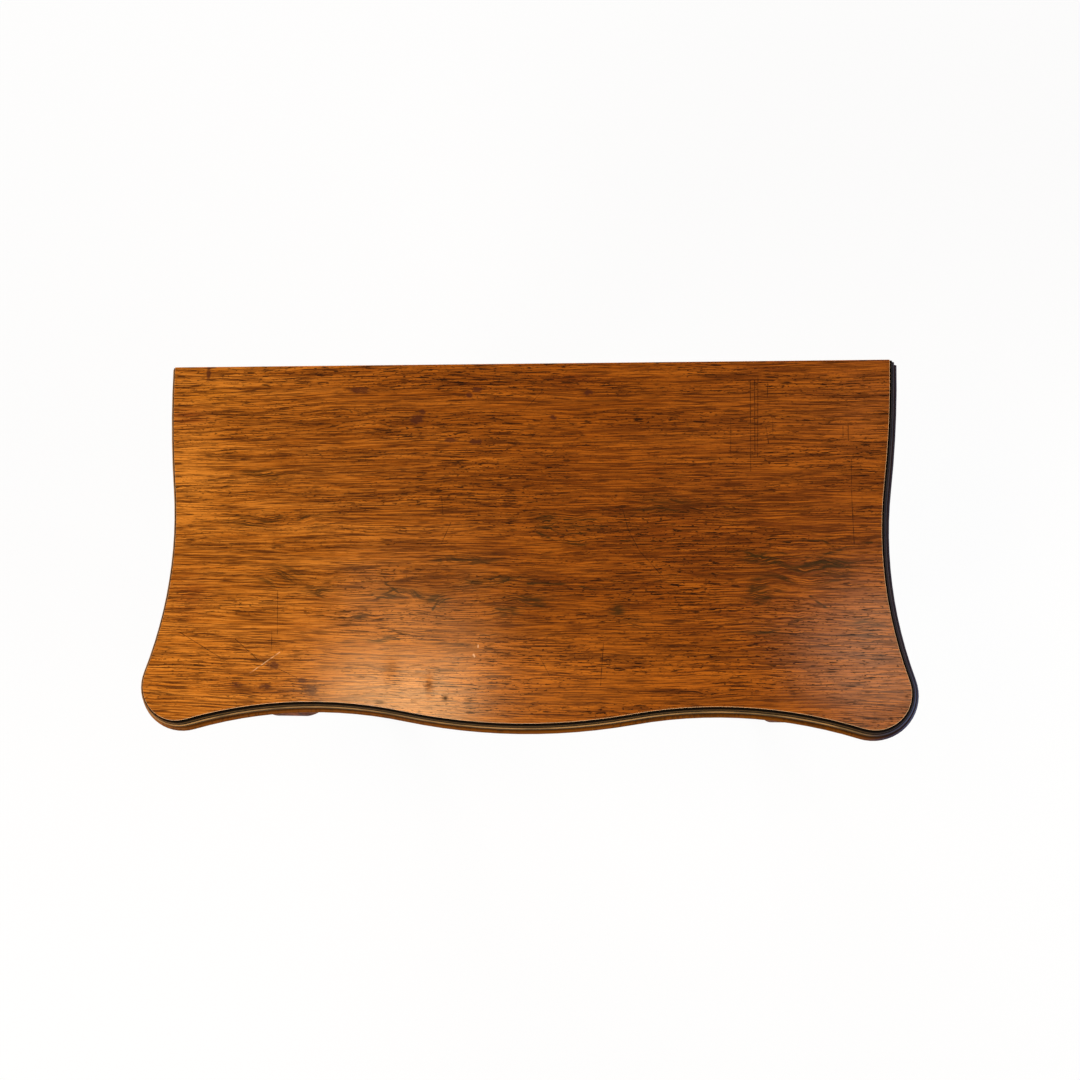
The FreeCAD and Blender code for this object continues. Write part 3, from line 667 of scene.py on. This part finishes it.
def baizeFinish(look):
    material, shader, place = newFinish("greenBaize")
    nap = cloudy(place, (900.0, 900.0, 900.0), 3.0, 0.6)
    thread = cloudy(place, (1500.0, 240.0, 400.0), 2.0, 0.5, seed=2.0)
    wear = cloudy(place, (7.0, 9.0, 0), 3.0, 0.6, seed=3.0)
    colour = ramped(nap * 0.5 + thread * 0.3 + wear * 0.2, (0.34, 0.52, 0.72), look["tones"])
    feed(shader, {
        "Base Color": tinted(smooth(wear, 0.55, 0.75) * 0.35, colour, look["tones"][2]),
        "Roughness": look["roughness"] + (nap - 0.5) * 0.15,
        "Sheen Weight": look["sheen"],
        "Sheen Roughness": look["sheenRoughness"],
        "Normal": bumped(nap + thread, 0.5, 0.0004),
    })
    return material


brassLook = {"tones": [tone(70, 50, 24), tone(150, 112, 52), tone(196, 156, 84)], "gloss": 0.36}
ironLook = {"tones": [tone(44, 32, 24), tone(66, 62, 58), tone(104, 100, 94)], "gloss": 0.52}


def metalFinish(name, look):
    material, shader, place = newFinish(name)
    cloud = cloudy(place, (60.0, 60.0, 60.0), 4.0, 0.6)
    fine = cloudy(place, (900.0, 200.0, 900.0), 2.0, 0.6, seed=2.0)
    feed(shader, {
        "Base Color": ramped(cloud * 0.7 + fine * 0.3, (0.34, 0.52, 0.66), look["tones"]),
        "Metallic": 1.0,
        "Roughness": look["gloss"] + (0.5 - cloud) * 0.4 + (fine - 0.5) * 0.12,
        "Normal": bumped(cloud + fine * 0.4, 0.25, 0.0003),
    })
    return material


leatherLook = {
    "tones": [tone(58, 34, 18), tone(98, 60, 32), tone(134, 90, 54)],
    "roughness": 0.75,
    "pebbles": 900.0,  # in a metre
}


def leatherFinish(look):
    material, shader, place = newFinish("wornLeather")
    cells = {"Vector": place, "Scale": look["pebbles"]}
    pebble = smooth(place.node("TexVoronoi", {"feature": "DISTANCE_TO_EDGE"}, cells, "Distance"), 0.0, 0.25)
    cloud = cloudy(place, (120.0, 120.0, 120.0), 3.0, 0.6)
    feed(shader, {
        "Base Color": ramped(cloud, (0.34, 0.50, 0.68), look["tones"]),
        "Roughness": look["roughness"] - pebble * 0.15,
        "Normal": bumped(pebble, 0.4, 0.0003),
    })
    return material


finishes = {
    "top": topFinish(topLook),
    "moulding": mouldingFinish(mouldingLook),
    "legs": rosewoodFinish("legRosewood", "z", rosewoodLook),
    "long": rosewoodFinish("facingRosewood", "x", rosewoodLook),
    "deep": rosewoodFinish("endFacingRosewood", "y", rosewoodLook),
    "border": rosewoodFinish("borderRosewood", "border", rosewoodLook),
    "carcase": carcaseFinish("carcaseWood", carcaseLook["bare"], carcaseLook),
    "leafCore": carcaseFinish("stainedLeafWood", carcaseLook["stained"], carcaseLook),
    "baize": baizeFinish(baizeLook),
    "brass": metalFinish("agedBrass", brassLook),
    "iron": metalFinish("blackIron", ironLook),
    "leather": leatherFinish(leatherLook),
}
slotFinish = {
    "top_veneer": "top",
    "dark_rosewood": "moulding",
    "rosewood": "long",
    "carcase_wood": "carcase",
    "baize": "baize",
    "brass": "brass",
    "iron": "iron",
    "leather": "leather",
}
# where a piece's finish isn't the one of its slot: end of the node's name, finish
endFinish = {
    "_leaf_core": "leafCore",
    "_leg": "legs",
    "left_facing": "deep",
    "right_facing": "deep",
    "left_bead": "deep",
    "right_bead": "deep",
    "_crossband": "border",
}


def finishOf(node):
    for ending, finish in endFinish.items():
        if node.endswith(ending):
            return finishes[finish]
    return finishes[slotFinish[slotOf[node]]]


print("finishes:", len(finishes))


# A node's own shape with its arrises eased
pieceLook = {
    "mergeGap": 0.000002,
    "flatAngle": 0.2,  # degrees, as is the next
    "sharpAngle": 35,
    "segments": 2,
    "ease": 0.0004,
    "easeOf": {"upper_leaf_veneer": 0.0009},  # worn arris of the top
}


def pieceName(node):
    first, *rest = node.split("_")
    return first + "".join(word.capitalize() for word in rest)


def mergedCopy(node, look):
    bm = bmesh.new()
    bm.from_mesh(nodes[node].data)
    bmesh.ops.remove_doubles(bm, verts=bm.verts, dist=look["mergeGap"])
    flat = math.radians(look["flatAngle"])
    bmesh.ops.dissolve_limit(bm, angle_limit=flat, verts=bm.verts, edges=bm.edges)
    return bm


def addPiece(node, bm, look):
    for face in bm.faces:
        face.smooth = True
    mesh = bpy.data.meshes.new(pieceName(node))
    bm.to_mesh(mesh)
    bm.free()
    mesh.set_sharp_from_angle(angle=math.radians(look["sharpAngle"]))
    mesh.materials.append(finishOf(node))
    piece = bpy.data.objects.new(pieceName(node), mesh)
    bpy.context.scene.collection.objects.link(piece)
    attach(piece, bodyOf[node])
    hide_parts(node)
    return piece


def dress(node, look):
    bm = mergedCopy(node, look)
    turn = math.radians(look["sharpAngle"])
    sharp = [edge for edge in bm.edges if edge.is_manifold and edge.calc_face_angle() > turn]
    ease = look["easeOf"].get(node, look["ease"])
    bmesh.ops.bevel(bm, geom=sharp, offset=ease, offset_type="OFFSET", affect="EDGES",
                    segments=look["segments"], profile=0.5, material=-1, clamp_overlap=True)
    piece = addPiece(node, bm, look)
    evened = piece.modifiers.new("evenNormals", "WEIGHTED_NORMAL")
    evened.keep_sharp = True


# Glued cloth: the node's own shape cut into cells, its show face lying a little unevenly
clothLook = {
    "cell": 0.012,
    "sink": 0.00012,
    "hollows": 24,  # in a metre
    "showGap": 0.00001,  # how near to the show face a vertex of it lies
    "cutGap": 0.0000005,
    # node: what it is glued to
    "sheets": {
        "upper_leaf_baize": "upper_leaf_core",
        "lower_leaf_baize": "lower_leaf_core",
        "well_lining": "well_floor",
    },
}


def layCloth(node, look):
    low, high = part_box(node)
    bm = mergedCopy(node, pieceLook)
    for axis in (0, 1):
        across = Vector((0, 0, 0))
        across[axis] = 1.0
        count = int((high[axis] - low[axis]) / look["cell"])
        for step in range(1, count):
            at = across * (low[axis] + (high[axis] - low[axis]) * step / count)
            bmesh.ops.bisect_plane(bm, geom=bm.verts[:] + bm.edges[:] + bm.faces[:], dist=look["cutGap"],
                                   plane_co=at, plane_no=across)
    showDown = node == "upper_leaf_baize"
    show = low[2] if showDown else high[2]
    shown = [face for face in bm.faces if abs(face.calc_center_median().z - show) < look["showGap"]]
    area = sum(face.calc_area() for face in shown)
    for vert in bm.verts:
        if abs(vert.co.z - show) < look["showGap"]:
            depth = look["sink"] * (0.5 + 0.5 * noise.noise(vert.co * look["hollows"]))
            vert.co.z += depth if showDown else -depth
    cloth = addPiece(node, bm, pieceLook)


for node in sorted(set(nodes) - set(clothLook["sheets"])):
    dress(node, pieceLook)
for node, under in clothLook["sheets"].items():
    layCloth(node, clothLook)
print("pieces dressed:", len(nodes))

# Floor, lamps and camera
studio = {
    "floorSize": 9.0,
    "floorRoughness": 0.9,
    "floorTone": (0.80, 0.80, 0.80, 1.0),
    "bounceTone": (0.30, 0.30, 0.30, 1.0),  # what the floor throws back on the table
    "floorGlow": 0.88,  # share of plain white that a camera sees near the table
    "fade": (1.2, 3.5),  # the floor turns plain white over these distances
    "skyLow": 0.76,  # at the horizon
    "skyHigh": 0.08,  # overhead, as in a room
    "skyTurn": (0.35, 0.85),  # upward share of a direction over which it dims
    "mirrors": ("Is Glossy Ray", "Is Transmission Ray"),
    "mirrorShare": 0.20,  # share of that white that a polished surface shows
    # name: place, aim, width, depth, power, colour
    "lamps": {
        "frontLeft": ((-1.8, -2.3, 2.7), (0.0, 0.0, 0.6), 1.8, 1.4, 80.0, (1.0, 0.98, 0.95)),
        "rightSide": ((2.5, -0.7, 2.0), (0.0, 0.0, 0.6), 1.4, 1.4, 46.0, (0.94, 0.97, 1.0)),
        "behind": ((-0.9, 2.5, 2.4), (0.0, 0.0, 0.6), 1.6, 1.2, 36.0, (1.0, 1.0, 1.0)),
        "window": ((-0.650, -0.147, 3.24), (-0.145, -0.222, 0.74), 0.88, 0.42, 17.0, (1.0, 0.60, 0.28)),
        "doorway": ((0.72, 0.08, 3.24), (0.40, -0.12, 0.74), 0.40, 0.45, 4.5, (1.0, 0.76, 0.52)),
    },
}


def addFloor(look):
    mesh = bpy.data.meshes.new("floor")
    bm = bmesh.new()
    bmesh.ops.create_grid(bm, x_segments=1, y_segments=1, size=look["floorSize"])
    bm.to_mesh(mesh)
    bm.free()
    floor = bpy.data.objects.new("floor", mesh)
    bpy.context.scene.collection.objects.link(floor)
    material, shader, place = newFinish("paleFloor")
    tree = material.node_tree
    seen = place.node("LightPath", output="Is Camera Ray")
    mirrored = highest(place.node("LightPath", output=kind) for kind in look["mirrors"])
    feed(shader, {
        "Base Color": tinted(seen, look["bounceTone"], look["floorTone"]),
        "Roughness": look["floorRoughness"],
    })
    away = place.node("VectorMath", {"operation": "LENGTH"}, {0: place}, "Value")
    share = smooth(away, *look["fade"]) * (1 - look["floorGlow"]) + look["floorGlow"]
    glow = place.node("Emission", None, {"Color": (1, 1, 1, 1), "Strength": 1.0})
    plain = Wire(tree, shader.outputs["BSDF"])
    shown = highest((seen, mirrored * look["mirrorShare"])) * share
    both = seen.node("MixShader", None, {0: shown, 1: plain, 2: glow})
    tree.links.new(both.socket, tree.nodes["Material Output"].inputs["Surface"])
    mesh.materials.append(material)


def addSky(look):
    world = bpy.data.worlds.new("studio")
    world.use_nodes = True
    tree = world.node_tree
    sky = tree.nodes["Background"]
    sky.inputs["Color"].default_value = (1, 1, 1, 1)
    ray = Wire(tree).node("LightPath", output="Is Camera Ray")
    mirrored = highest(ray.node("LightPath", output=kind) for kind in look["mirrors"])
    low = mirrored * (1 - look["skyLow"]) + look["skyLow"]
    climb = parts(ray.node("TexCoord", output="Object"), "Z")[0]
    level = low + smooth(climb, *look["skyTurn"]) * (look["skyHigh"] - low)
    level = ray + (1 - ray) * level
    tree.links.new(level.socket, sky.inputs["Strength"])
    bpy.context.scene.world = world


def addLamp(name, at, aim, width, depth, power, colour):
    light = bpy.data.lights.new(name, "AREA")
    light.shape = "RECTANGLE"
    light.size = width
    light.size_y = depth
    light.energy = power
    light.color = colour
    lamp = bpy.data.objects.new(name, light)
    lamp.location = at
    lamp.rotation_euler = (Vector(aim) - Vector(at)).to_track_quat("-Z", "Y").to_euler()
    bpy.context.scene.collection.objects.link(lamp)


addFloor(studio)
addSky(studio)
for name, lamp in studio["lamps"].items():
    addLamp(name, *lamp)

view = {
    "target": (0.0237, 0.0049, 0.740),
    "distance": 1.8,
    "tiltForward": 9.0,
    "tiltAside": 6.0,
    "roll": 1.02,
    "lens": 50.93,
    "sensor": 36.0,
}


def addCamera(look):
    forward = math.radians(look["tiltForward"])
    aside = math.radians(look["tiltAside"])
    roll = math.radians(look["roll"])
    back = Vector((math.tan(aside), -math.sin(forward), math.cos(forward))) * math.cos(aside)
    right = Vector((0, 1, 0)).cross(back).normalized()
    up = back.cross(right)
    axisX = right * math.cos(roll) + up * math.sin(roll)
    axisY = up * math.cos(roll) - right * math.sin(roll)
    data = bpy.data.cameras.new("overhead")
    data.lens = look["lens"]
    data.sensor_width = look["sensor"]
    camera = bpy.data.objects.new("overhead", data)
    turn = Matrix((axisX, axisY, back)).transposed().to_4x4()
    camera.matrix_world = Matrix.Translation(Vector(look["target"]) + back * look["distance"]) @ turn
    bpy.context.scene.collection.objects.link(camera)
    bpy.context.scene.camera = camera


addCamera(view)
bpy.context.scene.view_settings.view_transform = "Standard"
print("studio set")
